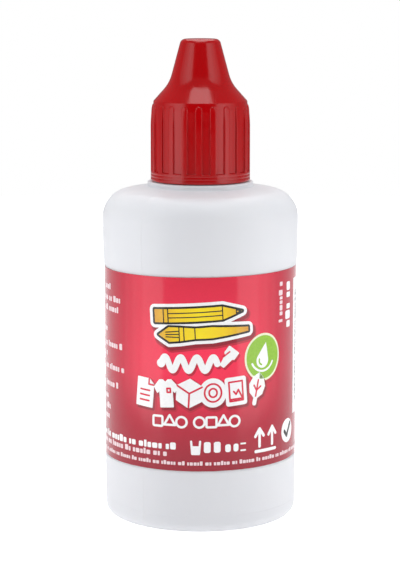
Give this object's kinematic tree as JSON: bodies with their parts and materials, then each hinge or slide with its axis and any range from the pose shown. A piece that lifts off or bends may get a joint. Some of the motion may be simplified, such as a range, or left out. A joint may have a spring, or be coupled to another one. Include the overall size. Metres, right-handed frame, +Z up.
{
  "type": "glue applicator bottle",
  "caption": "Squeeze bottle for white craft glue, with a wrap label, a dropper spout pressed in its neck and a ribbed conical screw cap that seals the spout with a pin.",
  "frame": {"origin": "on the bottle's axis, on the plane that its standing ring rests on", "axes": "+Z up along the bottle's axis, and the middle of the label's front faces -Y"},
  "size_m": [0.038, 0.038, 0.093],
  "materials": {
    "bottle_plastic": "milky translucent blow-moulded plastic, satin",
    "nozzle_plastic": "natural soft moulded plastic, satin",
    "cap_plastic": "red moulded plastic, glossy",
    "label_film": "printed film, semi-gloss",
    "glue": "white liquid"
  },
  "bodies": {
    "bottle": {"bottle": "bottle_plastic", "label": "label_film", "glue_fill": "glue"},
    "nozzle": {"nozzle_plug": "nozzle_plastic"},
    "cap": {"screw_cap": "cap_plastic"}
  },
  "joints": [
    {"name": "cap_turn", "type": "hinge", "parent": "bottle", "child": "nozzle", "pos_m": [0, 0, 0.0775], "axis": [0, 0, 1], "range_deg": [0, 2880]},
    {"name": "cap_lift", "type": "slide", "parent": "nozzle", "child": "cap", "axis": [0, 0, 1], "range_m": [0, 0.024]}
  ],
  "couplings": [
    {"joint": "cap_turn", "follows": "cap_lift", "rad_per_m": 2094.4}
  ]
}
